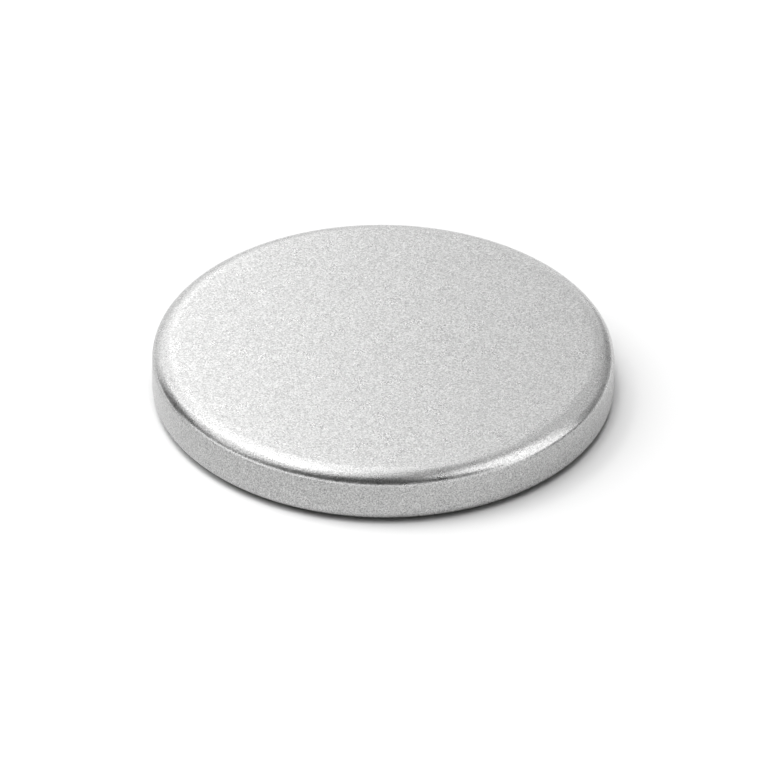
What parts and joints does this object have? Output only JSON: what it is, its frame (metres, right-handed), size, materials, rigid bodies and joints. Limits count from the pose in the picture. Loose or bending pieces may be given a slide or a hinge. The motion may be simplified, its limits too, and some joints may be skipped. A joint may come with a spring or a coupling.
{
  "type": "disc magnet",
  "caption": "Flat round plated magnet with a satin metal skin, softly rounded edges and a plain wall, which holds by either of its flat faces.",
  "frame": {"origin": "centre of the underside", "axes": "+Z is the disc's axis and its direction of magnetisation, from the underside to the top face; X and Y are any two directions in the underside, as the disc is round"},
  "size_m": [0.025, 0.025, 0.003],
  "materials": {
    "satin_nickel": "satin nickel plate with a fine even grain, and no brushing direction",
    "plated_copper": "satin electroplated copper",
    "matte_nickel": "matte nickel underplate",
    "sintered_neodymium": "dark grey sintered and ground, fine and porous"
  },
  "bodies": {
    "root": {"nickel_topcoat": "satin_nickel", "copper_midlayer": "plated_copper", "nickel_underplate": "matte_nickel", "magnet_core": "sintered_neodymium"}
  },
  "joints": []
}
